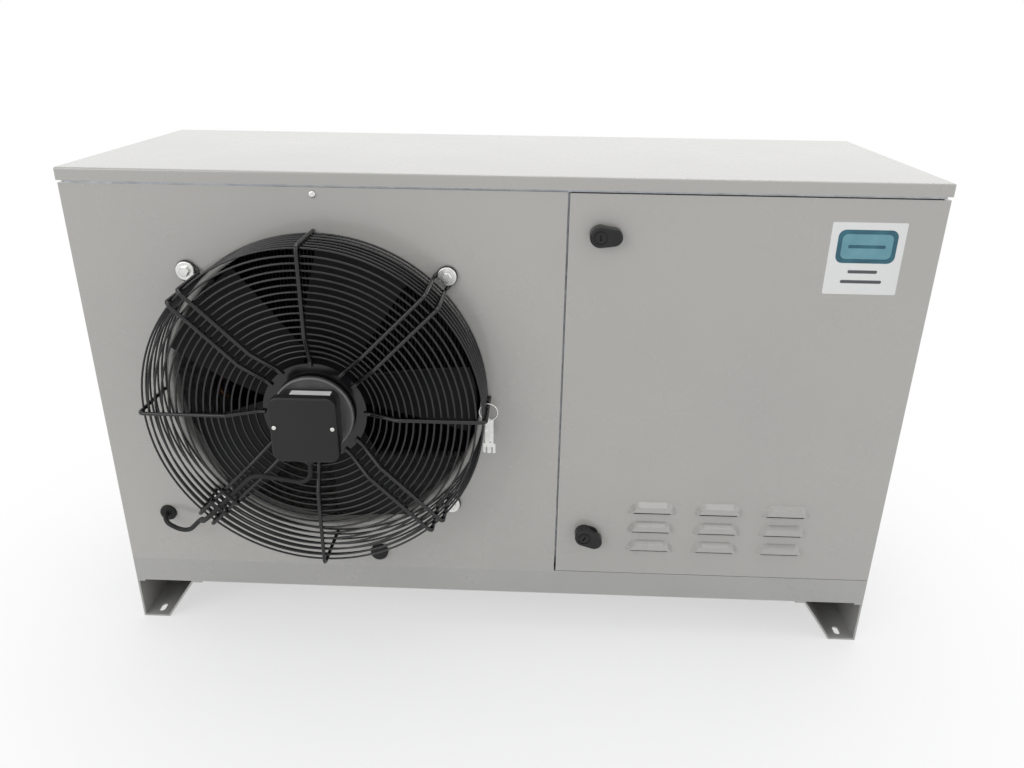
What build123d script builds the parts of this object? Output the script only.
from build123d import *
from math import atan2, cos, degrees, hypot, pi, radians, sin, sqrt
import os

# Box-type air-cooled refrigeration condensing unit. Units are millimetres.
# X runs along the front from left to right, Y goes from the front to the back, Z is up.
# The origin is on the floor, in the middle of the whole unit's bounding box.

# ---------------------------------------------------------------- driving dimensions
WIDTH = 1200.0            # casing, left side to right side
DEPTH = 430.0             # casing, front face to back face
ROOF_TOP = 751.0          # height of the roof's top face
ROOF_SKIRT = 17.5         # how far the roof's folded edge hangs down
ROOF_OVERHANG = 2.0       # how far the roof stands out past the panels
PANEL_TOP = ROOF_TOP - 21.0   # top edge of the casing panels
FOOT_HEIGHT = 75.0        # top of the foot rails
TRAY_HEIGHT = 44.5        # folded edge of the base tray
SHEET = 1.5               # thickness of the casing sheets
TRAY_SHEET = 2.0
RAIL_SHEET = 3.0
FOLD = 20.0               # depth of the folded edges behind the front panels
FIT = 0.3                 # running gap between neighbouring pieces that only just clear

FOOT_TOP_WIDTH = 96.0     # foot rail's profile, seen from the front
FOOT_SOLE_WIDTH = 44.0
FOOT_LIP = 13.0
SLOT_LENGTH = 20.0        # anchor slots in the foot rails
SLOT_WIDTH = 10.0
SLOT_INSET_X = 25.0
SLOT_INSET_Y = 20.0

LEFT, RIGHT = -WIDTH / 2, WIDTH / 2
TRAY_FLOOR = FOOT_HEIGHT + TRAY_SHEET
PANEL_FOOT = FOOT_HEIGHT + TRAY_HEIGHT
DOOR_WIDTH = 503.7
SPLIT_X = RIGHT - DOOR_WIDTH    # middle of the gap between the fan panel and the door
SPLIT_GAP = 3.0
DOOR_GAP_Z = 1.0          # clearance above and below the door

FAN_X = (LEFT + SPLIT_X) / 2 - 2.15   # fan axis, nearly in the middle of its panel
FAN_Z = (PANEL_FOOT + PANEL_TOP) / 2 + 2.25
MOUTH_R = 230.0           # throat of the drawn air mouth in the fan panel
MOUTH_CURVE = 8.0
MOUTH_DEPTH = 24.0
GUARD_R = 240.0           # centre line of the guard's outer rings
GUARD_DEPTH = 84.0        # centre plane of the guard's front rings, in front of the panel
RING_WIRE_R = 1.5
ROD_R = 2.75
SIDE_RINGS = 7
RING_PITCH = 12.6
HUB_RING_OUT = 74.0
HUB_RING_IN = 46.0
HUB_RING_T = 3.0
HUB_PLANE = 68.0          # the guard's mounting ring lies this far in front of the panel
DISH_R = GUARD_R - 9.5 * RING_PITCH   # the guard's face dishes in here, midway between two rings
ARM_HALF = 12.0           # half the spacing of an arm's two rods
LUG_PCD_R = 261.0         # radius of the four guard bolts
ROD_BEND = 7.0

ROTOR_R = 62.0
ROTOR_WALL = 4.0
ROTOR_FRONT = HUB_PLANE - HUB_RING_T - 3.0
ROTOR_LENGTH = 96.0
BLADE_COUNT = 5
BLADE_TIP_R = 224.0
BLADE_T = 2.0
MOTOR_SHAFT_R = 6.0
BEARING_R = 16.0
BEARING_W = 10.0
RUN_CLEARANCE = 0.05      # radial running clearance of shafts and pins

CAP_R = 58.0              # motor end cap in front of the guard
CAP_T = 12.0
BOX_W = 84.0              # motor terminal box
BOX_H = 88.0
BOX_X = FAN_X - 2.0
BOX_Z = FAN_Z - 3.0
BOX_BACK = HUB_PLANE + CAP_T
BOX_BODY_T = 30.0
COVER_W = 93.0
COVER_H = 97.0
COVER_T = 13.0
COVER_SCREW_T = 1.5
PROUD = BOX_BACK + BOX_BODY_T + COVER_T + COVER_SCREW_T   # furthest point in front of the panel

FRONT = PROUD - (PROUD + ROOF_OVERHANG + DEPTH) / 2       # y of the front panels' face
BACK = FRONT + DEPTH

LATCH_X = SPLIT_X + 44.0  # door latches
LATCH_Z = (PANEL_FOOT + 75.5, PANEL_TOP - 56.5)
LATCH_TURN = (-25.0, 0.0) # how the lower and the upper wing stand at rest
KNOB_R = 14.5
KNOB_LENGTH = 44.5
KNOB_TIP_R = 12.0
KNOB_BASE_T = 4.0
KNOB_HEIGHT = 19.0
SPINDLE_R = 5.0
CAM_REACH = 40.0
CAM_WIDTH = 16.0
CAM_T = 3.0
STRIKE_EDGE = SPLIT_X + 25.7       # right edge of the flange that the cams lock behind

HINGE_INSET = 6.0         # pin axis, in from the door's right edge and front face
HINGE_Z = (PANEL_FOOT + 85.5, PANEL_TOP - 85.0)
HINGE_H = 60.0
HINGE_PIN_R = 2.0
KNUCKLE_R = 3.9

LOUVRE_W = 74.0
LOUVRE_H = 21.0
LOUVRE_RISE = 8.0
LOUVRE_X = [SPLIT_X + 149.2 + 103.4 * i for i in range(3)]
LOUVRE_Z = [PANEL_FOOT + 55.0 + 34.6 * i for i in range(3)]

CABLE_R = 3.6
CABLE_HOLE = (FAN_X - 272.0, FAN_Z - 218.0)
PLUG_HOLE = (FAN_X + 66.0, PANEL_FOOT + 28.5)
TOP_SCREW = (FAN_X + 3.0, PANEL_TOP - 9.0)

DIAGONALS = (45, 135, 225, 315)

os.makedirs("parts", exist_ok=True)


# ---------------------------------------------------------------- helpers
def block(x0, x1, y0, y1, z0, z1):
    """A box between two corners."""
    return Pos((x0 + x1) / 2, (y0 + y1) / 2, (z0 + z1) / 2) * Box(x1 - x0, y1 - y0, z1 - z0)


def along_y(x, z, radius, y0, y1):
    """A round bar that runs front to back."""
    return Pos(x, (y0 + y1) / 2, z) * Rot(90, 0, 0) * Cylinder(radius, y1 - y0)


def along_x(y, z, radius, x0, x1):
    return Pos((x0 + x1) / 2, y, z) * Rot(0, 90, 0) * Cylinder(radius, x1 - x0)


def along_z(x, y, radius, z0, z1):
    return Pos(x, y, (z0 + z1) / 2) * Cylinder(radius, z1 - z0)


def extruded_y(outline, y0, y1):
    """An outline drawn in X and Z, given thickness from y0 to y1."""
    return extrude(Plane(origin=(0, y1, 0), x_dir=(1, 0, 0), z_dir=(0, -1, 0)) * outline, y1 - y0)


def polygon(*points):
    return make_face(Polyline(*points, close=True))


def tube(points, radius, bend):
    """A round rod or pipe along straight runs joined by bends."""
    bends = bend if isinstance(bend, (list, tuple)) else [bend] * (len(points) - 2)
    path = FilletPolyline(*points, radius=list(bends)) if len(points) > 2 else Line(*points)
    start = Plane(origin=path @ 0, z_dir=path % 0)
    return sweep(start * Circle(radius), path=path)


def fan_point(r, angle, proud):
    """A point near the fan: radius and angle about its axis, and distance in front of the panel."""
    return (FAN_X + r * cos(radians(angle)), FRONT - proud, FAN_Z + r * sin(radians(angle)))


def pan(x0, x1, z0, z1, fold=FOLD):
    """A front sheet with its four edges folded back."""
    skin = block(x0, x1, FRONT, FRONT + fold, z0, z1)
    return skin - block(x0 + SHEET, x1 - SHEET, FRONT + SHEET, FRONT + fold + 1, z0 + SHEET, z1 - SHEET)


def group(*shapes):
    """Several separate solids in one node."""
    solids = []
    for shape in shapes:
        solids += list(shape.solids())
    return Compound(solids)


NODES = {}


def node(name, shape):
    NODES[name] = shape
    export_step(shape if isinstance(shape, Compound) else Compound(shape.solids()), f"parts/{name}.step")


# ---------------------------------------------------------------- feet, tray and casing
def foot_rail(side):
    """One channel folded from sheet, seen from the front: plumb outer wall, sole, leaning inner wall."""
    edge = side * WIDTH / 2
    t, rise = RAIL_SHEET, FOOT_HEIGHT
    slope = (FOOT_TOP_WIDTH - FOOT_SOLE_WIDTH) / rise
    skew = t * hypot(1, slope)
    profile = [(FOOT_LIP, rise), (0, rise), (0, 0), (FOOT_SOLE_WIDTH, 0),
               (FOOT_TOP_WIDTH - slope * t, rise - t), (FOOT_TOP_WIDTH + FOOT_LIP, rise - t),
               (FOOT_TOP_WIDTH + FOOT_LIP, rise), (FOOT_TOP_WIDTH - skew, rise),
               (FOOT_SOLE_WIDTH - skew + slope * t, t), (t, t), (t, rise - t), (FOOT_LIP, rise - t)]
    rail = extruded_y(polygon(*[(edge - side * x, z) for x, z in profile]), FRONT, BACK)
    slot_x = edge - side * SLOT_INSET_X
    for slot_y in (FRONT + SLOT_INSET_Y, BACK - SLOT_INSET_Y):
        rail -= Pos(slot_x, slot_y, 0) * extrude(SlotOverall(SLOT_LENGTH, SLOT_WIDTH, rotation=90), t)
    return rail


def base_tray():
    """Folded tray with its rim turned in, which the panels stand on."""
    t = TRAY_SHEET
    rim = 16.0
    tray = block(LEFT, RIGHT, FRONT, BACK, FOOT_HEIGHT, PANEL_FOOT)
    tray -= block(LEFT + t, RIGHT - t, FRONT + t, BACK - t, TRAY_FLOOR, PANEL_FOOT - t)
    tray -= block(LEFT + rim, RIGHT - rim, FRONT + rim, BACK - rim, TRAY_FLOOR, PANEL_FOOT + 1)
    drain_x, drain_r = -400.0, 12.0
    return tray - along_z(drain_x, (FRONT + BACK) / 2, drain_r, FOOT_HEIGHT - 1, TRAY_FLOOR + 1)


def air_mouth():
    """The drawn ring around the fan: a quarter bend from the face into a short straight throat."""
    r, c, t = MOUTH_R, MOUTH_CURVE, SHEET
    k = sqrt(0.5)
    profile = make_face([
        Line((r + c, 0), (r + c, t)),
        ThreePointArc((r + c, t), (r + c - (c - t) * k, c - (c - t) * k), (r + t, c)),
        Line((r + t, c), (r + t, MOUTH_DEPTH)),
        Line((r + t, MOUTH_DEPTH), (r, MOUTH_DEPTH)),
        Line((r, MOUTH_DEPTH), (r, c)),
        ThreePointArc((r, c), (r + c - c * k, c - c * k), (r + c, 0)),
    ])
    ring = revolve(Plane(origin=(0, 0, 0), x_dir=(1, 0, 0), z_dir=(0, 0, 1)) * profile, axis=Axis.Y)
    return Pos(FAN_X, FRONT, FAN_Z) * ring


def fan_panel():
    panel = pan(LEFT, SPLIT_X - SPLIT_GAP / 2, PANEL_FOOT, PANEL_TOP)
    panel = panel - along_y(FAN_X, FAN_Z, MOUTH_R + MOUTH_CURVE, FRONT - 1, FRONT + SHEET + 1) + air_mouth()
    holes = [(*CABLE_HOLE, GROMMET_R), (*PLUG_HOLE, GROMMET_R), (*TOP_SCREW, CASE_SCREW_R)]
    for angle in DIAGONALS:
        x, _, z = fan_point(LUG_PCD_R, angle, 0)
        holes.append((x, z, BOLT_R))
    for x, z, r in holes:
        panel -= along_y(x, z, r + HOLE_PLAY, FRONT - 1, FRONT + SHEET + 1)
    return panel


GROMMET_R = 9.0
BOLT_R = 4.0
CASE_SCREW_R = 2.5
HOLE_PLAY = 0.2
SIDE_FRONT = FRONT + FOLD + 0.5       # where the right side panel begins, clear of the door's swing
HINGE_X = RIGHT - HINGE_INSET
HINGE_Y = FRONT + HINGE_INSET
LINE_Y = BACK - 90.0                  # pipe entries in the right side panel
COMP_X, COMP_Y, COMP_R, COMP_H = SPLIT_X + 158.7, BACK - 130.0, 82.0, 330.0
COMP_FOOT = TRAY_FLOOR + 26.0         # underside of the compressor's mounting plate
COMP_PLATE_T = 4.0
COMP_INLET = COMP_FOOT + COMP_PLATE_T + 130.0
SUCTION_Z, LIQUID_Z, SUPPLY_Z = COMP_INLET, COMP_INLET - 57.0, COMP_INLET + 63.0
SUCTION_BUSH_R, LIQUID_BUSH_R, SUPPLY_BUSH_R = 17.0, 13.0, 13.0
SUCTION_BORE_R, LIQUID_BORE_R, SUPPLY_BORE_R = 12.0, 8.0, 8.0
PARTITION_X = SPLIT_X - 8.3


def left_side_panel():
    return block(LEFT, LEFT + SHEET, FRONT + FOLD, BACK, PANEL_FOOT, PANEL_TOP) \
        + block(LEFT, LEFT + FOLD, BACK - SHEET, BACK, PANEL_FOOT, PANEL_TOP) \
        + block(LEFT, LEFT + FOLD, FRONT + FOLD, FRONT + FOLD + SHEET, PANEL_FOOT, PANEL_TOP)


def right_side_panel():
    flange = 38.0
    panel = block(RIGHT - SHEET, RIGHT, SIDE_FRONT, BACK, PANEL_FOOT, PANEL_TOP)
    panel += block(RIGHT - flange, RIGHT, SIDE_FRONT, SIDE_FRONT + SHEET, PANEL_FOOT, PANEL_TOP)
    for z, r in ((SUCTION_Z, SUCTION_BUSH_R), (LIQUID_Z, LIQUID_BUSH_R), (SUPPLY_Z, SUPPLY_BUSH_R)):
        panel -= along_x(LINE_Y, z, r - 3.0, RIGHT - SHEET - 1, RIGHT + 1)
    return panel


def rear_panel():
    """Closes the back of the machine compartment; the coil fills the rest of the back."""
    panel = block(PARTITION_X + SHEET, RIGHT - SHEET, BACK - SHEET, BACK, PANEL_FOOT, PANEL_TOP)
    inset, rows, columns = 10.0, 3, 2
    for row in range(rows):
        for column in range(columns):
            x, z = rear_screw_place(row, column, inset)
            panel -= along_y(x, z, CASE_SCREW_R + HOLE_PLAY, BACK - SHEET - 1, BACK + 1)
    return panel


def rear_screw_place(row, column, inset=10.0):
    x = (PARTITION_X + SHEET + inset, RIGHT - SHEET - inset)[column]
    z = PANEL_FOOT + inset + row * (PANEL_TOP - PANEL_FOOT - 2 * inset) / 2
    return x, z


def partition():
    """Wall between the fan and the compressor, pierced for the two coil pipes."""
    x = PARTITION_X
    wall = block(x, x + SHEET, FRONT + FOLD + SHEET, BACK, PANEL_FOOT, PANEL_TOP)
    wall += block(x, x + SHEET, FRONT + FOLD, BACK - FOLD, TRAY_FLOOR, PANEL_FOOT)
    hole_r = PIPE_R + 3.0
    for y, z in PARTITION_HOLES:
        wall -= along_x(y, z, hole_r, x - 1, x + SHEET + 1)
    return wall


def latch_strike():
    """Strip on the front edge of the partition, which the door's cams lock behind."""
    return block(PARTITION_X, STRIKE_EDGE, FRONT + FOLD, FRONT + FOLD + SHEET, PANEL_FOOT, PANEL_TOP)


def top_frame():
    """Folded frame between the panels and the roof; it stands back and leaves a dark line."""
    inset, leg = 4.0, 30.0
    x0, x1, y0, y1 = LEFT + inset, RIGHT - inset, FRONT + inset, BACK - inset
    top = ROOF_TOP - SHEET
    frame = block(x0, x1, y0, y1, PANEL_TOP, top)
    frame -= block(x0 + leg, x1 - leg, y0 + leg, y1 - leg, PANEL_TOP - 1, top + 1)
    return frame - block(x0 + SHEET, x1 - SHEET, y0 + SHEET, y1 - SHEET, PANEL_TOP + SHEET, top - SHEET)


def roof():
    o = ROOF_OVERHANG
    corner = 3.0
    shell = block(LEFT - o, RIGHT + o, FRONT - o, BACK + o, ROOF_TOP - ROOF_SKIRT, ROOF_TOP)
    shell = fillet(shell.edges().filter_by(Axis.Z), corner)
    shell = fillet(shell.faces().sort_by(Axis.Z)[-1].edges(), corner)
    hollow = block(LEFT - o + SHEET, RIGHT + o - SHEET, FRONT - o + SHEET, BACK + o - SHEET,
                   ROOF_TOP - ROOF_SKIRT - 1, ROOF_TOP - SHEET)
    return shell - hollow


# ---------------------------------------------------------------- door, louvres, hinges and latches
def louvre(x, z):
    """A pressed hood with rounded ends, open along its lower edge."""
    half, rise, t = LOUVRE_W / 2, LOUVRE_RISE, SHEET
    outline = make_face([
        Line((x - half, z - LOUVRE_H / 2), (x + half, z - LOUVRE_H / 2)),
        ThreePointArc((x + half, z - LOUVRE_H / 2), (x + half - 4, z + LOUVRE_H / 2 - 7),
                      (x + half - 15, z + LOUVRE_H / 2)),
        Line((x + half - 15, z + LOUVRE_H / 2), (x - half + 15, z + LOUVRE_H / 2)),
        ThreePointArc((x - half + 15, z + LOUVRE_H / 2), (x - half + 4, z + LOUVRE_H / 2 - 7),
                      (x - half, z - LOUVRE_H / 2)),
    ])
    face = Plane(origin=(0, FRONT, 0), x_dir=(1, 0, 0), z_dir=(0, -1, 0))
    hood = extrude(face * outline, rise, taper=36)
    shrunk = extrude(Plane(origin=(0, FRONT + t, 0), x_dir=(1, 0, 0), z_dir=(0, -1, 0)) * outline,
                     rise, taper=36)
    mouth = block(x - half + 8, x + half - 8, FRONT - rise + t, FRONT + t + 1,
                  z - LOUVRE_H / 2 - 1, z - LOUVRE_H / 2 + 5)
    return hood, shrunk, mouth


def door_panel():
    x0 = SPLIT_X + SPLIT_GAP / 2
    door = pan(x0, RIGHT, PANEL_FOOT + DOOR_GAP_Z, PANEL_TOP - DOOR_GAP_Z, FOLD - 2.0)
    for x in LOUVRE_X:
        for z in LOUVRE_Z:
            hood, shrunk, mouth = louvre(x, z)
            door = door + hood - shrunk - mouth
    for z in LATCH_Z:
        door -= along_y(LATCH_X, z, LATCH_HOLE_R, FRONT - 1, FRONT + SHEET + 1)
    notch = 3.0
    for z in HINGE_Z:
        door -= block(RIGHT - SHEET - 1, RIGHT + 1, FRONT + SHEET, FRONT + FOLD,
                      z - HINGE_H / 2 - notch, z + HINGE_H / 2 + notch)
    return door


LATCH_HOLE_R = 8.0


def door_seal():
    """Foam strip around the inside of the door, just behind the skin."""
    width, thick, inset = 10.0, 3.0, 14.0
    x0, x1 = SPLIT_X + SPLIT_GAP / 2 + SHEET + inset, RIGHT - SHEET - 34.0
    z0, z1 = PANEL_FOOT + DOOR_GAP_Z + SHEET + 4.0, PANEL_TOP - DOOR_GAP_Z - SHEET - 4.0
    y0 = FRONT + SHEET
    seal = block(x0, x1, y0, y0 + thick, z0, z1)
    return seal - block(x0 + width, x1 - width, y0 - 1, y0 + thick + 1, z0 + width, z1 - width)


def hinge_fixed(z):
    """Pin, strap and leaf screwed to the right side panel's flange: the lower half of a lift-off hinge."""
    half, plate = HINGE_H / 2, 2.0
    low = along_z(HINGE_X, HINGE_Y, KNUCKLE_R, z - half, z - FIT / 2)
    pin = along_z(HINGE_X, HINGE_Y, HINGE_PIN_R, z - half, z + half - 3.0)
    edge = HINGE_X - KNUCKLE_R
    strap = block(edge, edge + plate, HINGE_Y, SIDE_FRONT, z - half, z - FIT / 2)
    leaf = block(RIGHT - 36.0, edge + plate, SIDE_FRONT - plate, SIDE_FRONT, z - half, z - FIT / 2)
    return low + pin + strap + leaf


def hinge_moving(z):
    """Knuckle and leaf on the inside of the door: the upper half of a lift-off hinge."""
    half, plate = HINGE_H / 2, 2.0
    knuckle = along_z(HINGE_X, HINGE_Y, KNUCKLE_R, z + FIT / 2, z + half)
    leaf = block(HINGE_X - 28.0, HINGE_X - 1.0, FRONT + SHEET, FRONT + SHEET + plate, z + FIT / 2, z + half)
    bore = along_z(HINGE_X, HINGE_Y, HINGE_PIN_R + RUN_CLEARANCE, z - 1, z + half - 2.5)
    return knuckle + leaf - bore


def teardrop(length, head_r, tip_r):
    """Outline of a latch wing: a big round head at the origin that runs out to a smaller round tip."""
    reach = length - head_r - tip_r
    head, tip = Circle(head_r), Pos(reach, 0) * Circle(tip_r)
    lean = (head_r - tip_r) / reach
    up = sqrt(1 - lean * lean)
    web = polygon((head_r * lean, head_r * up), (reach + tip_r * lean, tip_r * up),
                  (reach + tip_r * lean, -tip_r * up), (head_r * lean, -head_r * up))
    return head + tip + web


def turned(shape, z, angle):
    """A latch piece drawn about the Y axis, turned and set at its height on the door."""
    return Pos(LATCH_X, 0, z) * Rot(0, -angle, 0) * shape


def latch_base(z):
    """Fixed escutcheon under the wing, its threaded sleeve through the door, and its nut."""
    sleeve_r, nut_r, nut_t = 7.8, 12.0, 4.0
    base = extruded_y(teardrop(KNOB_LENGTH - 8.0, KNOB_R, KNOB_R - 3.0), FRONT - KNOB_BASE_T, FRONT)
    base += along_y(0, 0, sleeve_r, FRONT - 1, FRONT + 16.0)
    nut = Pos(0, FRONT + SHEET + nut_t / 2, 0) * Rot(90, 0, 0) * extrude(RegularPolygon(nut_r, 6), nut_t / 2, both=True)
    base += nut
    base -= along_y(0, 0, SPINDLE_R + RUN_CLEARANCE, FRONT - KNOB_BASE_T - 1, FRONT + 20)
    return Pos(LATCH_X, 0, z) * base


def latch_knob(z, angle):
    """Wing with its raised rim and key slot, on a spindle."""
    y_back = FRONT - KNOB_BASE_T - FIT
    y_front = FRONT - KNOB_HEIGHT
    wing = extruded_y(teardrop(KNOB_LENGTH, KNOB_R, KNOB_TIP_R), y_front, y_back)
    wing = fillet(wing.faces().sort_by(Axis.Y)[0].edges(), 3.0)
    wing -= along_y(0, 0, 9.5, y_front - 1, y_front + 1.5)
    wing += along_y(0, 0, 8.0, y_front, y_front + 2.0)
    wing -= block(-1.0, 1.0, y_front - 1, y_front + 4.0, -4.0, 4.0)
    wing += along_y(0, 0, SPINDLE_R, y_back, FRONT + FOLD + 9.0)
    return turned(wing, z, angle)


def latch_cam(z, angle):
    """Cam that swings behind the strike flange; at rest it stands clear, a quarter turn before locking."""
    y0 = FRONT + FOLD + SHEET + 1.0
    blade = extruded_y(Rot(0, 0, 90) * (Pos((CAM_REACH - CAM_WIDTH / 2) / 2, 0)
                                        * SlotCenterToCenter(CAM_REACH - CAM_WIDTH / 2, CAM_WIDTH)), y0, y0 + CAM_T)
    blade -= along_y(0, 0, SPINDLE_R, y0 - 1, y0 + CAM_T + 1)
    return turned(blade, z, angle)


# ---------------------------------------------------------------- fan guard
def guard_rings():
    """Wire hoops: a stack of equal ones around the side, and smaller and smaller ones across the face."""
    rings = []
    for i in range(SIDE_RINGS):
        proud = RING_WIRE_R + FIT + i * (GUARD_DEPTH - 5.0) / (SIDE_RINGS - 1)
        rings.append((GUARD_R, proud))
    r = GUARD_R - RING_PITCH
    while r > HUB_EDGE + 2.0:
        rings.append((r, guard_face(r)))
        r -= RING_PITCH
    return group(*[Pos(FAN_X, FRONT - proud, FAN_Z) * Rot(90, 0, 0) * Torus(r, RING_WIRE_R)
                   for r, proud in rings])


ROD_LIFT = RING_WIRE_R + ROD_R + 0.1  # rods lie on top of the rings
ROD_FACE = GUARD_DEPTH + ROD_LIFT
ROD_OUT = GUARD_R + ROD_LIFT
HUB_EDGE = HUB_RING_OUT + 6.0         # the rods leave the hub ring's plane here
DISH_SLOPE = (ROD_FACE - HUB_PLANE - ROD_R) / (DISH_R - HUB_EDGE)


def guard_face(r):
    """How far in front of the panel the face rings lie: flat, then dished along the rods."""
    if r >= DISH_R:
        return GUARD_DEPTH
    return ROD_FACE - (DISH_R - r) * DISH_SLOPE - ROD_LIFT * hypot(1, DISH_SLOPE)


def guard_rods():
    """Four single rods, from the hub ring over the edge and back to the panel."""
    rods = []
    for angle in (0, 90, 180, 270):
        path = [fan_point(HUB_RING_OUT - 4.0, angle, HUB_PLANE + ROD_R),
                fan_point(HUB_EDGE, angle, HUB_PLANE + ROD_R),
                fan_point(DISH_R, angle, ROD_FACE),
                fan_point(ROD_OUT, angle, ROD_FACE),
                fan_point(ROD_OUT, angle, 1.0)]
        rods.append(tube(path, ROD_R, ROD_BEND))
    return group(*rods)


def guard_arm(angle):
    """A long hairpin rod: along the face, back to the panel and round the mounting bolt."""
    flat = ROD_R + FIT
    side = {}
    for s in (-1, 1):
        side[s] = [(HUB_RING_OUT - 6.0, s * ARM_HALF, HUB_PLANE + ROD_R),
                   (reach(HUB_EDGE), s * ARM_HALF, HUB_PLANE + ROD_R),
                   (reach(DISH_R), s * ARM_HALF, ROD_FACE),
                   (reach(ROD_OUT), s * ARM_HALF, ROD_FACE),
                   (reach(ROD_OUT) + 2.0, s * ARM_HALF, flat),
                   (LUG_PCD_R, s * ARM_HALF, flat)]
    halves = []
    for s in (-1, 1):
        points = [Vector(r, y, -p) for r, y, p in side[s]]
        halves.append(FilletPolyline(*points, radius=[ROD_BEND * 2, ROD_BEND * 2, ROD_BEND, ROD_BEND]))
    tip = ThreePointArc((LUG_PCD_R, -ARM_HALF, -flat), (LUG_PCD_R + ARM_HALF, 0, -flat),
                        (LUG_PCD_R, ARM_HALF, -flat))
    path = Wire([*halves[0].edges(), *tip.edges(), *halves[1].edges()])
    start = Plane(origin=halves[0] @ 0, z_dir=halves[0] % 0)
    return arm_frame(angle) * sweep(start * Circle(ROD_R), path=path)


def reach(r):
    """How far along an arm its rods cross a radius, standing off to either side of its middle."""
    return sqrt(r * r - ARM_HALF * ARM_HALF)


def arm_frame(angle):
    """Frame of one arm: X outwards along it, Y across it and -Z to the front."""
    out = (cos(radians(angle)), 0, sin(radians(angle)))
    return Plane(origin=(FAN_X, FRONT, FAN_Z), x_dir=out, z_dir=(0, 1, 0))


def guard_hub_ring():
    ring = along_y(FAN_X, FAN_Z, HUB_RING_OUT, FRONT - HUB_PLANE, FRONT - HUB_PLANE + HUB_RING_T)
    ring -= along_y(FAN_X, FAN_Z, HUB_RING_IN, FRONT - HUB_PLANE - 1, FRONT - HUB_PLANE + HUB_RING_T + 1)
    return ring


WASHER_R, WASHER_T = 13.5, 2.0


def guard_bolts():
    """Bolt with a wide domed washer that clamps each hairpin to the panel."""
    bolts = []
    seat = 2 * ROD_R + FIT + 0.1
    for angle in DIAGONALS:
        x, _, z = fan_point(LUG_PCD_R, angle, 0)
        y = FRONT - seat
        washer = along_y(x, z, WASHER_R, y - WASHER_T, y)
        washer = fillet(washer.edges().sort_by(Axis.Y)[0], 1.4)
        head = Pos(x, y - WASHER_T, z) * Rot(90, 0, 0) * extrude(RegularPolygon(7.4, 6), 5.0)
        head = chamfer(head.faces().sort_by(Axis.Y)[0].edges(), 0.8)
        shank = along_y(x, z, BOLT_R, y, FRONT + 12.0)
        nut = Pos(x, FRONT + SHEET + 6.5, z) * Rot(90, 0, 0) * extrude(RegularPolygon(7.4, 6), 6.5)
        bolts.append(washer + head + shank + nut)
    return group(*bolts)


# ---------------------------------------------------------------- fan motor and impeller
def rotor():
    """Outer rotor: a cup that spins round the stator, with its shaft."""
    y0, y1 = FRONT - ROTOR_FRONT, FRONT - ROTOR_FRONT + ROTOR_LENGTH
    cup = along_y(FAN_X, FAN_Z, ROTOR_R, y0, y1)
    cup = fillet(cup.edges().sort_by(Axis.Y)[-1], 6.0)
    cup -= along_y(FAN_X, FAN_Z, ROTOR_R - ROTOR_WALL, y0 - 1, y1 - 2 * ROTOR_WALL)
    shaft = along_y(FAN_X, FAN_Z, MOTOR_SHAFT_R, y0 + 4.0, y1 - ROTOR_WALL)
    return cup + shaft


def stator():
    """Laminated core on its flange; hollow for the shaft and the bearings."""
    y0 = FRONT - HUB_PLANE
    y1 = FRONT - ROTOR_FRONT + ROTOR_LENGTH - 2 * ROTOR_WALL - 8.0
    core = along_y(FAN_X, FAN_Z, ROTOR_R - ROTOR_WALL - 2.0, FRONT - ROTOR_FRONT + 8.0, y1)
    core += along_y(FAN_X, FAN_Z, HUB_RING_IN - FIT, y0, FRONT - ROTOR_FRONT + 8.0)
    bore = BEARING_R + RUN_CLEARANCE
    core -= along_y(FAN_X, FAN_Z, bore, FRONT - ROTOR_FRONT + 2.0, y1 + 1)
    return core


def bearings():
    y1 = FRONT - ROTOR_FRONT + ROTOR_LENGTH - 2 * ROTOR_WALL - 8.0
    made = []
    for y0 in (FRONT - ROTOR_FRONT + 10.0, y1 - BEARING_W - 2.0):
        ring = along_y(FAN_X, FAN_Z, BEARING_R, y0, y0 + BEARING_W)
        made.append(ring - along_y(FAN_X, FAN_Z, MOTOR_SHAFT_R + RUN_CLEARANCE, y0 - 1, y0 + BEARING_W + 1))
    return group(*made)


def blade_section(radius, chord, pitch, camber, sweep_back, y_mid):
    """Closed thin arc on the plane at this radius: the blade's cut, turned to its pitch."""
    half, t = chord / 2, BLADE_T / 2
    shape = make_face([
        ThreePointArc((-half, -t), (0, camber - t), (half, -t)),
        Line((half, -t), (half, t)),
        ThreePointArc((half, t), (0, camber + t), (-half, t)),
        Line((-half, t), (-half, -t)),
    ])
    plane = Plane(origin=(sweep_back, y_mid, radius), x_dir=(cos(radians(pitch)), sin(radians(pitch)), 0),
                  z_dir=(0, 0, 1))
    return plane * shape


def fan_blades():
    """Sickle blades, wider and flatter towards the tip."""
    y_mid = FRONT - ROTOR_FRONT + 58.0
    sections = [blade_section(54.0, 84.0, 38.0, 9.0, 0.0, y_mid),
                blade_section(130.0, 118.0, 30.0, 12.0, 12.0, y_mid),
                blade_section(BLADE_TIP_R + 6.0, 150.0, 22.0, 12.0, 34.0, y_mid)]
    blade = loft(Sketch() + sections)
    blade = blade & along_y(0, 0, BLADE_TIP_R, y_mid - 90, y_mid + 90)
    blade -= along_y(0, 0, ROTOR_R, y_mid - 90, y_mid + 90)
    return group(*[Pos(FAN_X, 0, FAN_Z) * Rot(0, 360 / BLADE_COUNT * i + 12, 0) * blade
                   for i in range(BLADE_COUNT)])


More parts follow.
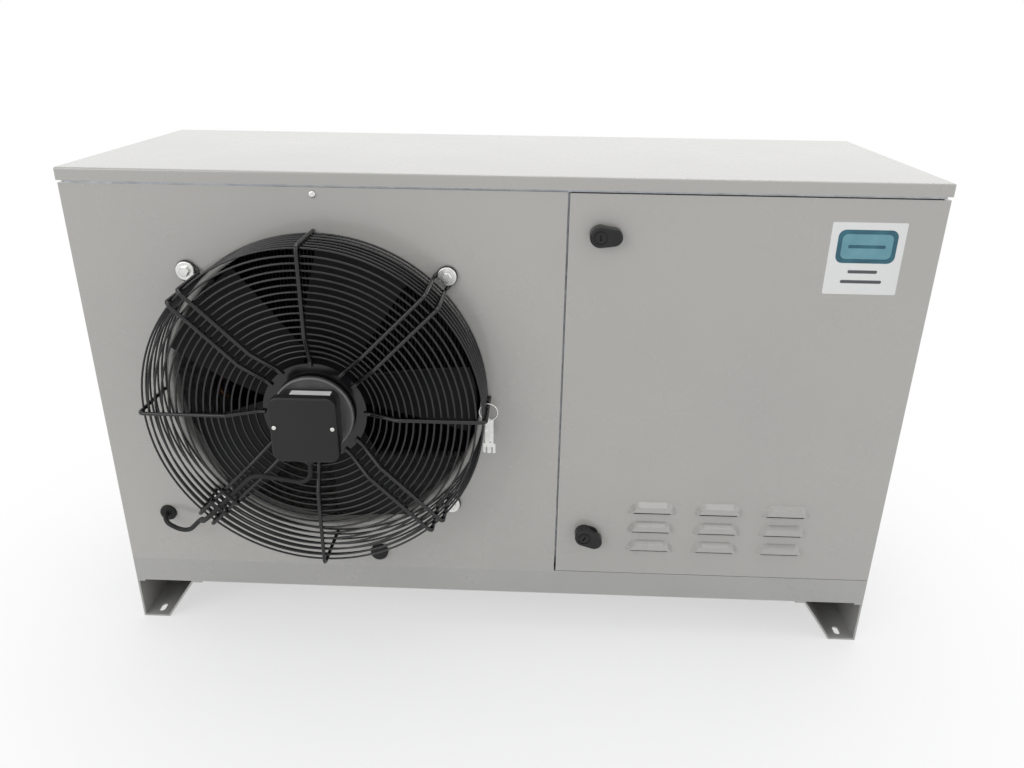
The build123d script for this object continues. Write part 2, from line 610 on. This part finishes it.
def motor_cap():
    """Cast end cap that clamps the stator to the guard's ring."""
    cap = along_y(FAN_X, FAN_Z, CAP_R, FRONT - BOX_BACK, FRONT - HUB_PLANE - 2 * ROD_R)
    cap = fillet(cap.edges().sort_by(Axis.Y)[0], 3.0)
    return cap + along_y(FAN_X, FAN_Z, HUB_RING_IN + 8.0, FRONT - HUB_PLANE - 2 * ROD_R, FRONT - HUB_PLANE)


def rounded_box(w, h, corner, y0, y1):
    return extruded_y(Pos(BOX_X, BOX_Z) * RectangleRounded(w, h, corner), y0, y1)


def terminal_box():
    y1 = FRONT - BOX_BACK
    y0 = y1 - BOX_BODY_T
    body = rounded_box(BOX_W, BOX_H, 12.0, y0, y1)
    return body - rounded_box(BOX_W - 6, BOX_H - 6, 9.0, y0 - 1, y1 - 3)


def terminal_cover():
    y1 = FRONT - BOX_BACK - BOX_BODY_T
    y0 = y1 - COVER_T
    cover = rounded_box(COVER_W, COVER_H, 14.0, y0, y1)
    cover = fillet(cover.faces().sort_by(Axis.Y)[0].edges(), 3.0)
    cover -= rounded_box(COVER_W - 8, COVER_H - 8, 10.0, y0 + 3, y1 + 1)
    for x, z in COVER_SCREWS:
        cover -= along_y(x, z, 4.2, y0 - 1, y0 + 1.0)
    return cover


COVER_SCREWS = ((BOX_X - COVER_W / 2 + 6.5, BOX_Z + 4.0), (BOX_X + COVER_W / 2 - 6.5, BOX_Z + 4.0))


def cover_screws():
    made = []
    y = FRONT - BOX_BACK - BOX_BODY_T - COVER_T
    for x, z in COVER_SCREWS:
        head = along_y(x, z, 3.2, y - COVER_SCREW_T, y + 1.0)
        made.append(fillet(head.edges().sort_by(Axis.Y)[0], 1.2))
    return group(*made)


GLAND_X, GLAND_R = BOX_X - 4.0, 9.0
GLAND_Y = FRONT - BOX_BACK - 15.0


def cable_gland():
    """Nut and dome under the terminal box."""
    top = BOX_Z - BOX_H / 2
    nut = Pos(GLAND_X, GLAND_Y, top - 8.0) * extrude(RegularPolygon(GLAND_R + 1.0, 6), 8.0)
    dome = along_z(GLAND_X, GLAND_Y, GLAND_R - 1.0, top - 20.0, top - 8.0)
    dome = fillet(dome.edges().sort_by(Axis.Z)[0], 3.0)
    return nut + dome - along_z(GLAND_X, GLAND_Y, CABLE_R + FIT, top - 21, top - 12)


CABLE_LAY = GUARD_DEPTH + RING_WIRE_R + CABLE_R + FIT    # the cable lies on the rings, between an arm's rods
CABLE_ARM = 225


def motor_cable():
    """From the gland down onto the lower left arm, along it, over the edge and into the grommet."""
    x, z = CABLE_HOLE
    top = BOX_Z - BOX_H / 2 - 12.3
    path = [(GLAND_X, GLAND_Y, top), (GLAND_X, GLAND_Y, top - 42.0),
            fan_point(125.0, CABLE_ARM, ROD_FACE + ROD_R + CABLE_R + 1.5),
            fan_point(152.0, CABLE_ARM, CABLE_LAY),
            fan_point(252.0, CABLE_ARM, CABLE_LAY + 1.0),
            fan_point(276.0, CABLE_ARM, CABLE_LAY - 44.0),
            (x + 38.0, FRONT - 28.0, z - 20.0),
            (x, FRONT - 26.0, z),
            (x, FRONT + 10.0, z)]
    vectors = [Vector(*p) for p in path]
    bends = []
    for a, b, c in zip(vectors, vectors[1:], vectors[2:]):
        half_turn = radians((b - a).get_angle(c - b) / 2)
        bends.append(0.48 * min((b - a).length, (c - b).length) / (sin(half_turn) / cos(half_turn)))
    return tube(vectors, CABLE_R, bends)


def rubber_ring(x, z, hole):
    """Grommet snapped into the panel."""
    ring = along_y(x, z, GROMMET_R, FRONT - 1, FRONT + SHEET + 3.0)
    ring += along_y(x, z, GROMMET_R + 4.0, FRONT - 4.5, FRONT)
    ring = fillet(ring.edges().sort_by(Axis.Y)[0], 2.5)
    return ring - along_y(x, z, hole, FRONT - 6, FRONT + 8)


def blanking_plug():
    x, z = PLUG_HOLE
    plug = along_y(x, z, GROMMET_R, FRONT - 1, FRONT + SHEET + 3.0)
    head = along_y(x, z, GROMMET_R + 5.0, FRONT - 9.0, FRONT)
    return plug + fillet(head.edges().sort_by(Axis.Y)[0], 5.0)


def cable_tie(r):
    """A strap round both rods of the arm and the cable between them."""
    half, t, w = ARM_HALF + ROD_R + FIT, 1.2, 4.0
    low, high = -(ROD_FACE - ROD_R - FIT), -(CABLE_LAY + CABLE_R + FIT + 1.0)
    strap = block(r - w / 2, r + w / 2, -half - t, half + t, high - t, low + t)
    strap -= block(r - w, r + w, -half, half, high, low)
    return arm_frame(CABLE_ARM) * strap


def cable_ties():
    between = (GUARD_R - 2.5 * RING_PITCH, GUARD_R - 4.5 * RING_PITCH)
    return group(*[cable_tie(r) for r in between])


# ---------------------------------------------------------------- condenser coil
COIL_X = (LEFT + 42.0, PARTITION_X - 42.0)
COIL_Z = (PANEL_FOOT, PANEL_TOP)
COIL_Y = (BACK - 49.5, BACK - SHEET)
COIL_MID_Y = (COIL_Y[0] + COIL_Y[1]) / 2
FIN_PITCH = 7.0
FIN_T = 2.0
TUBE_R = 5.0
TUBE_ROWS = 14


def coil_fins():
    """Fin block: a thin web with deep grooves front and back, so that each fin stands free."""
    x0, x1 = COIL_X
    y0, y1 = COIL_Y
    mid = (y0 + y1) / 2
    web = 5.0
    points = []
    count = int((x1 - x0) / FIN_PITCH)
    pitch = (x1 - x0) / count
    for i in range(count):
        x = x0 + i * pitch
        points += [(x, y0), (x + FIN_T, y0), (x + FIN_T, mid - web), (x + pitch, mid - web)]
    back = [(x, 2 * mid - y) for x, y in reversed(points)]
    comb = make_face(Polyline(*points, *back, close=True))
    return Pos(0, 0, COIL_Z[0]) * extrude(comb, COIL_Z[1] - COIL_Z[0])


def tube_height(row):
    z0, z1 = COIL_Z
    return z0 + (row + 0.5) * (z1 - z0) / TUBE_ROWS


def coil_bends():
    """Return bends that stand out of the coil's end plates, joining the tubes in pairs."""
    made = []
    for row in range(1, TUBE_ROWS - 1, 2):
        made.append(return_bend(COIL_X[1] + SHEET, 1, row))
    for row in range(0, TUBE_ROWS, 2):
        made.append(return_bend(COIL_X[0] - SHEET, -1, row))
    return group(*made)


def return_bend(x, way, row):
    """A half-circle of tube on two short straight ends."""
    z0, z1 = tube_height(row), tube_height(row + 1)
    straight, r = 4.0, (z1 - z0) / 2
    out = x + way * straight
    y = COIL_MID_Y
    path = Wire([*Line((x, y, z0), (out, y, z0)).edges(),
                 *ThreePointArc((out, y, z0), (out + way * r, y, z0 + r), (out, y, z1)).edges(),
                 *Line((out, y, z1), (x, y, z1)).edges()])
    return sweep(Plane(origin=(x, y, z0), z_dir=(way, 0, 0)) * Circle(TUBE_R), path=path)


def coil_plates():
    """End plates with their flanges, which fix the coil in the casing."""
    y0, y1 = COIL_Y
    made = []
    for x, way in ((COIL_X[0], -1), (COIL_X[1], 1)):
        plate = block(min(x, x + way * SHEET), max(x, x + way * SHEET), y0, y1, *COIL_Z)
        flange = block(min(x, x + way * 38), max(x, x + way * 38), y1 - SHEET, y1, *COIL_Z)
        made.append(plate + flange)
    return group(*made)


# ---------------------------------------------------------------- refrigeration parts
PIPE_R = 6.0
SUCTION_R = 8.0
SOCKET = 2.0              # how much thicker a pipe's socket is than the pipe
REC_X, REC_Y, REC_R = SPLIT_X + 343.7, BACK - 95.0, 50.0
REC_BASE, REC_TOP = TRAY_FLOOR + 22.0, TRAY_FLOOR + 322.0
REC_PORT = 25.0           # the receiver's two ports stand this far off its middle
REC_STUB = REC_TOP + 20.0
SUCTION_VALVE_X, LIQUID_VALVE_X = RIGHT - 88.0, RIGHT - 52.0
PARTITION_HOLES = ((COIL_MID_Y, tube_height(TUBE_ROWS - 1)), (COIL_MID_Y, tube_height(0)))


def domed_can(x, y, r, z0, z1, dome):
    can = along_z(x, y, r, z0, z1)
    return fillet(can.edges().filter_by(GeomType.CIRCLE), dome)


def compressor():
    """Welded hermetic shell with its seam, suction and discharge stubs."""
    z0 = COMP_FOOT + COMP_PLATE_T
    shell = domed_can(COMP_X, COMP_Y, COMP_R, z0, z0 + COMP_H, 40.0)
    shell += along_z(COMP_X, COMP_Y, COMP_R + 3.0, z0 + COMP_H * 0.62, z0 + COMP_H * 0.62 + 12.0)
    shell += along_z(*DISCHARGE_XY, PIPE_R + SOCKET, z0 + COMP_H - 30.0, DISCHARGE_Z)
    shell += along_x(COMP_Y, COMP_INLET, SUCTION_R + SOCKET, COMP_X + COMP_R - 24.0, COMP_X + COMP_R + 16.0)
    return shell


DISCHARGE_XY = (COMP_X + 30.0, COMP_Y + 25.0)
DISCHARGE_Z = COMP_FOOT + COMP_PLATE_T + COMP_H + 18.0


def compressor_base():
    """Mounting plate with its four corners on rubber."""
    half = 105.0
    top = COMP_FOOT + COMP_PLATE_T
    plate = block(COMP_X - half, COMP_X + half, COMP_Y - half, COMP_Y + half, COMP_FOOT, top)
    plate = fillet(plate.edges().filter_by(Axis.Z), 20.0)
    for x, y in compressor_corners():
        plate -= along_z(x, y, 8.0, COMP_FOOT - 1, top + 1)
    return plate


def compressor_corners():
    reach = 85.0
    return [(COMP_X + i * reach, COMP_Y + j * reach) for i in (-1, 1) for j in (-1, 1)]


def compressor_rubbers():
    return group(*[along_z(x, y, 17.0, TRAY_FLOOR, COMP_FOOT)
                   + along_z(x, y, 7.8, COMP_FOOT, COMP_FOOT + COMP_PLATE_T + 4.0)
                   for x, y in compressor_corners()])


def compressor_cover():
    """Terminal cover on the shell's front."""
    z = COMP_FOOT + 150.0
    y0, y1 = COMP_Y - COMP_R - 26.0, COMP_Y - COMP_R + 14.0
    cover = block(COMP_X - 42, COMP_X + 42, y0, y1, z - 45, z + 45)
    cover = fillet(cover.faces().sort_by(Axis.Y)[0].edges(), 5.0)
    return cover - along_z(COMP_X, COMP_Y, COMP_R + 0.1, z - 60, z + 60)


def receiver_can():
    return domed_can(REC_X, REC_Y, REC_R, REC_BASE, REC_TOP, 28.0)


def receiver():
    shell = receiver_can()
    for x in (REC_X - REC_PORT, REC_X + REC_PORT):
        shell += along_z(x, REC_Y, PIPE_R + SOCKET, REC_TOP - 32.0, REC_STUB)
    return shell


def receiver_stand():
    """Ring foot under the receiver, with its fixing flange."""
    wall, flange = 3.0, 12.0
    outer = REC_R - 8.0
    ring = along_z(REC_X, REC_Y, outer, TRAY_FLOOR, REC_BASE + 10.0)
    ring += along_z(REC_X, REC_Y, outer + flange, TRAY_FLOOR, TRAY_FLOOR + wall)
    ring -= along_z(REC_X, REC_Y, outer - wall, TRAY_FLOOR - 1, REC_BASE + 11.0)
    return ring - receiver_can()


DRIER_X, DRIER_Y, DRIER_Z = SPLIT_X + 263.7, FRONT + 75.0, TRAY_FLOOR + 393.0
DRIER_R, DRIER_HALF = 24.0, 60.0
NECK = 14.0
SIGHT_X = DRIER_X + DRIER_HALF + NECK + 26.0
SIGHT_HALF = 22.0


def filter_drier():
    """Spun can with necked ends on the liquid line."""
    x0, x1 = DRIER_X - DRIER_HALF, DRIER_X + DRIER_HALF
    can = along_x(DRIER_Y, DRIER_Z, DRIER_R, x0, x1)
    can = fillet(can.edges().filter_by(GeomType.CIRCLE), 12.0)
    return can + along_x(DRIER_Y, DRIER_Z, PIPE_R + SOCKET, x0 - NECK, x1 + NECK)


def sight_glass():
    body = along_x(DRIER_Y, DRIER_Z, PIPE_R + 3.0, DRIER_X + DRIER_HALF + NECK, SIGHT_X + SIGHT_HALF)
    body += along_y(SIGHT_X, DRIER_Z, 14.0, DRIER_Y - 16.0, DRIER_Y + 8.0)
    return body - along_y(SIGHT_X, DRIER_Z, 10.0, DRIER_Y - 17.0, DRIER_Y - 13.0)


def sight_lens():
    return along_y(SIGHT_X, DRIER_Z, 9.9, DRIER_Y - 16.5, DRIER_Y - 13.0)


def discharge_pipe():
    """Hot gas from the compressor's top to the coil's upper end."""
    x, y = DISCHARGE_XY
    py, pz = PARTITION_HOLES[0]
    return tube([(x, y, DISCHARGE_Z), (x, y, pz), (x, py, pz), (COIL_X[1] + SHEET, py, pz)], PIPE_R, 30.0)


def condensate_pipe():
    """Liquid from the coil's lower end to the receiver."""
    py, pz = PARTITION_HOLES[1]
    riser, top = REC_X - 85.0, REC_STUB + 60.0
    return tube([(COIL_X[1] + SHEET, py, pz), (riser, py, pz), (riser, py, top),
                 (REC_X - REC_PORT, REC_Y, top), (REC_X - REC_PORT, REC_Y, REC_STUB)], PIPE_R, 20.0)


def liquid_pipes():
    """Receiver to drier, and sight glass to the liquid valve."""
    x, top = REC_X + REC_PORT, REC_STUB + 110.0
    start = DRIER_X - DRIER_HALF - NECK
    inlet = tube([(x, REC_Y, REC_STUB), (x, REC_Y, top), (x, DRIER_Y, top), (start - 38.0, DRIER_Y, top),
                  (start - 38.0, DRIER_Y, DRIER_Z), (start, DRIER_Y, DRIER_Z)], PIPE_R, 18.0)
    outlet = tube([(SIGHT_X + SIGHT_HALF, DRIER_Y, DRIER_Z), (LIQUID_VALVE_X, DRIER_Y, DRIER_Z),
                   (LIQUID_VALVE_X, DRIER_Y, LIQUID_Z), (LIQUID_VALVE_X, LINE_Y - VALVE_HALF, LIQUID_Z)],
                  PIPE_R, 24.0)
    return group(inlet, outlet)


def suction_pipe():
    """Cold gas from the suction valve back to the compressor's side."""
    x, front = COMP_X + COMP_R + 16.0, FRONT + 120.0
    return tube([(x, COMP_Y, SUCTION_Z), (x + 20.0, COMP_Y, SUCTION_Z), (x + 20.0, front, SUCTION_Z),
                 (SUCTION_VALVE_X, front, SUCTION_Z), (SUCTION_VALVE_X, LINE_Y - VALVE_HALF, SUCTION_Z)],
                SUCTION_R, [18.0, 30.0, 30.0])


VALVE_HALF = 25.0
STUB_END = RIGHT - SHEET - 22.0


def service_valve(x, z, line_r, body_r):
    """Angle shut-off valve with a capped stem on its front and a stub towards the side panel."""
    body = Pos(x, LINE_Y, z) * Box(2 * body_r, 2 * VALVE_HALF, 2 * body_r)
    stub = along_x(LINE_Y, z, line_r, x + body_r, STUB_END)
    cap = Pos(x, LINE_Y, z + body_r) * extrude(RegularPolygon(body_r * 0.95, 6), 16.0)
    return body + stub + cap


def service_valves():
    return group(service_valve(SUCTION_VALVE_X, SUCTION_Z, SUCTION_R, 14.0),
                 service_valve(LIQUID_VALVE_X, LIQUID_Z, PIPE_R, 11.0))


def bushing(z, outer, bore):
    """Rubber bushing that lines a pipe entry."""
    ring = along_x(LINE_Y, z, outer - 3.0 - HOLE_PLAY, RIGHT - SHEET - 4.0, RIGHT)
    ring += along_x(LINE_Y, z, outer, RIGHT - SHEET - 6.0, RIGHT - SHEET)
    ring += along_x(LINE_Y, z, outer, RIGHT, RIGHT + ROOF_OVERHANG - 0.2)
    return ring - along_x(LINE_Y, z, bore, RIGHT - 20, RIGHT + 10)


def pipe_bushings():
    return group(bushing(SUCTION_Z, SUCTION_BUSH_R, SUCTION_BORE_R),
                 bushing(LIQUID_Z, LIQUID_BUSH_R, LIQUID_BORE_R),
                 bushing(SUPPLY_Z, SUPPLY_BUSH_R, SUPPLY_BORE_R))


# ---------------------------------------------------------------- controls
PLATE_T = 2.0
PLATE_FACE = PARTITION_X + SHEET + PLATE_T
CONTROLS_Z = COMP_INLET + 53.0        # bottom of the plate that carries the controls
CONTROLS_H = 350.0


def control_plate():
    return block(PLATE_FACE - PLATE_T, PLATE_FACE, FRONT + 60.0, FRONT + 220.0, CONTROLS_Z, CONTROLS_Z + CONTROLS_H)


def contactor():
    """Moulded block with a stepped front and the moving bridge in its middle."""
    depth, step, z0, z1 = 62.0, 12.0, CONTROLS_Z + 250.0, CONTROLS_Z + 330.0
    y0, y1 = FRONT + 90.0, FRONT + 140.0
    tip = PLATE_FACE + depth
    body = block(PLATE_FACE, tip, y0, y1, z0, z1)
    for low, high in ((z0 - 1, z0 + 20.0), (z1 - 20.0, z1 + 1)):
        body -= block(tip - step, tip + 1, y0 - 1, y1 + 1, low, high)
    return body + block(tip, tip + 4.0, y0 + 17.0, y1 - 17.0, z0 + 30.0, z1 - 30.0)


def terminal_strip():
    """A row of screw terminals, open at the top and at the bottom."""
    depth, pitch, y0, count = 30.0, 14.5, FRONT + 72.0, 9
    z0, z1 = CONTROLS_Z + 175.0, CONTROLS_Z + 215.0
    strip = block(PLATE_FACE, PLATE_FACE + depth, y0, y0 + count * pitch + 5.5, z0, z1)
    for i in range(count):
        y = y0 + 5.0 + i * pitch
        for low, high in ((z0 - 1, z0 + 10.0), (z1 - 10.0, z1 + 1)):
            strip -= block(PLATE_FACE + depth / 2, PLATE_FACE + depth + 1, y, y + pitch - 4.5, low, high)
    return strip


BUTTON_R, BUTTON_TRAVEL = 5.0, 3.0
BUTTON_FRONT = FRONT + 70.0
SWITCH_FRONT = FRONT + 75.0
SWITCH_Z = CONTROLS_Z + 50.0
BUTTON_X, BUTTON_Z = PLATE_FACE + 21.0, SWITCH_Z + 65.0


def pressure_switch():
    """Dual pressure control with two bellows below it and a reset button on its front."""
    body = block(PLATE_FACE, PLATE_FACE + 42.0, SWITCH_FRONT, SWITCH_FRONT + 75.0, SWITCH_Z, SWITCH_Z + 90.0)
    body = fillet(body.faces().sort_by(Axis.Y)[0].edges(), 4.0)
    body -= along_y(BUTTON_X, BUTTON_Z, BUTTON_R + 0.1, SWITCH_FRONT - 1, BUTTON_FRONT + 18.0 + BUTTON_TRAVEL + 1.0)
    for y in (SWITCH_FRONT + 20.0, SWITCH_FRONT + 55.0):
        body += along_z(BUTTON_X, y, 10.0, SWITCH_Z - 22.0, SWITCH_Z)
    return body


def reset_button():
    return along_y(BUTTON_X, BUTTON_Z, BUTTON_R, BUTTON_FRONT, BUTTON_FRONT + 18.0)


# ---------------------------------------------------------------- fasteners and keys
def screw_head(x, z, y, way):
    head = along_y(x, z, 5.0, min(y, y + way * 3.0), max(y, y + way * 3.0))
    outer = head.edges().filter_by(GeomType.CIRCLE).sort_by(Axis.Y)[0 if way < 0 else -1]
    return fillet(outer, 2.2)


def casing_screws():
    made = [screw_head(*TOP_SCREW, FRONT, -1) + along_y(*TOP_SCREW, CASE_SCREW_R, FRONT, FRONT + SHEET + 6.0)]
    for row in range(3):
        for column in range(2):
            x, z = rear_screw_place(row, column)
            shank = along_y(x, z, CASE_SCREW_R, BACK - SHEET - 6.0, BACK)
            made.append(along_y(x, z, 5.0, BACK, BACK + ROOF_OVERHANG - 0.2) + shank)
    return group(*made)


KEY_PIVOT = (FAN_X + ROD_OUT, FAN_Z)
KEY_PROUD = 34.0
KEY_LOOP_R = 13.2


def service_keys():
    """A wire loop over the guard's right rod, with two forked keys on it."""
    x, z = KEY_PIVOT
    y = FRONT - KEY_PROUD
    loop = Pos(x, y, z - KEY_LOOP_R + 1.0 + ROD_R + 0.1) * Rot(90, 0, 0) * Torus(KEY_LOOP_R, 1.0)
    keys = loop
    for i, drop, lean in ((0, 0.0, -1.5), (1, -2.0, 4.5)):
        ky = y - 1.3 + i * 2.6
        top = z - 18.0 + drop
        blade = block(x + lean - 3.0, x + lean + 3.0, ky - 1.2, ky + 1.2, top - 42.0, top)
        fork = block(x + lean - 6.0, x + lean + 6.0, ky - 1.2, ky + 1.2, top - 56.0, top - 40.0)
        fork -= block(x + lean - 2.2, x + lean + 2.2, ky - 2, ky + 2, top - 57.0, top - 46.0)
        keys = keys + blade + fork
    return keys


# ---------------------------------------------------------------- build every node
def main():
    node("foot_rail_left", foot_rail(-1))
    node("foot_rail_right", foot_rail(1))
    node("base_tray", base_tray())
    node("fan_panel", fan_panel())
    node("left_side_panel", left_side_panel())
    node("right_side_panel", right_side_panel())
    node("rear_panel", rear_panel())
    node("partition", partition())
    node("latch_strike", latch_strike())
    node("top_frame", top_frame())
    node("roof", roof())
    node("door_panel", door_panel())
    node("door_seal", door_seal())
    node("hinge_pins", group(*[hinge_fixed(z) for z in HINGE_Z]))
    node("hinge_knuckles", group(*[hinge_moving(z) for z in HINGE_Z]))
    node("latch_bases", group(*[latch_base(z) for z in LATCH_Z]))
    for name, z, angle in zip(("lower", "upper"), LATCH_Z, LATCH_TURN):
        node(f"{name}_latch_knob", latch_knob(z, angle))
        node(f"{name}_latch_cam", latch_cam(z, angle))
    node("guard_rings", guard_rings())
    node("guard_rods", guard_rods())
    node("guard_arms", group(*[guard_arm(a) for a in DIAGONALS]))
    node("guard_hub_ring", guard_hub_ring())
    node("guard_bolts", guard_bolts())
    node("motor_rotor", rotor())
    node("motor_stator", stator())
    node("motor_bearings", bearings())
    node("fan_blades", fan_blades())
    node("motor_end_cap", motor_cap())
    node("terminal_box", terminal_box())
    node("terminal_cover", terminal_cover())
    node("cable_gland", cable_gland())
    node("motor_cable", motor_cable())
    node("cable_ties", cable_ties())
    node("coil_fins", coil_fins())
    node("coil_return_bends", coil_bends())
    node("coil_end_plates", coil_plates())
    node("compressor", compressor())
    node("compressor_base", compressor_base())
    node("compressor_rubbers", compressor_rubbers())
    node("compressor_terminal_cover", compressor_cover())
    node("liquid_receiver", receiver())
    node("receiver_stand", receiver_stand())
    node("filter_drier", filter_drier())
    node("sight_glass", sight_glass())
    node("sight_glass_lens", sight_lens())
    node("discharge_pipe", discharge_pipe())
    node("condensate_pipe", condensate_pipe())
    node("liquid_pipes", liquid_pipes())
    node("suction_pipe", suction_pipe())
    node("service_valves", service_valves())
    node("panel_grommets", group(rubber_ring(*CABLE_HOLE, CABLE_R + FIT), blanking_plug(), pipe_bushings()))
    node("control_plate", control_plate())
    node("contactor", contactor())
    node("terminal_strip", terminal_strip())
    node("pressure_switch", pressure_switch())
    node("reset_button", reset_button())
    node("casing_screws", group(casing_screws(), cover_screws()))
    node("service_keys", service_keys())


main()
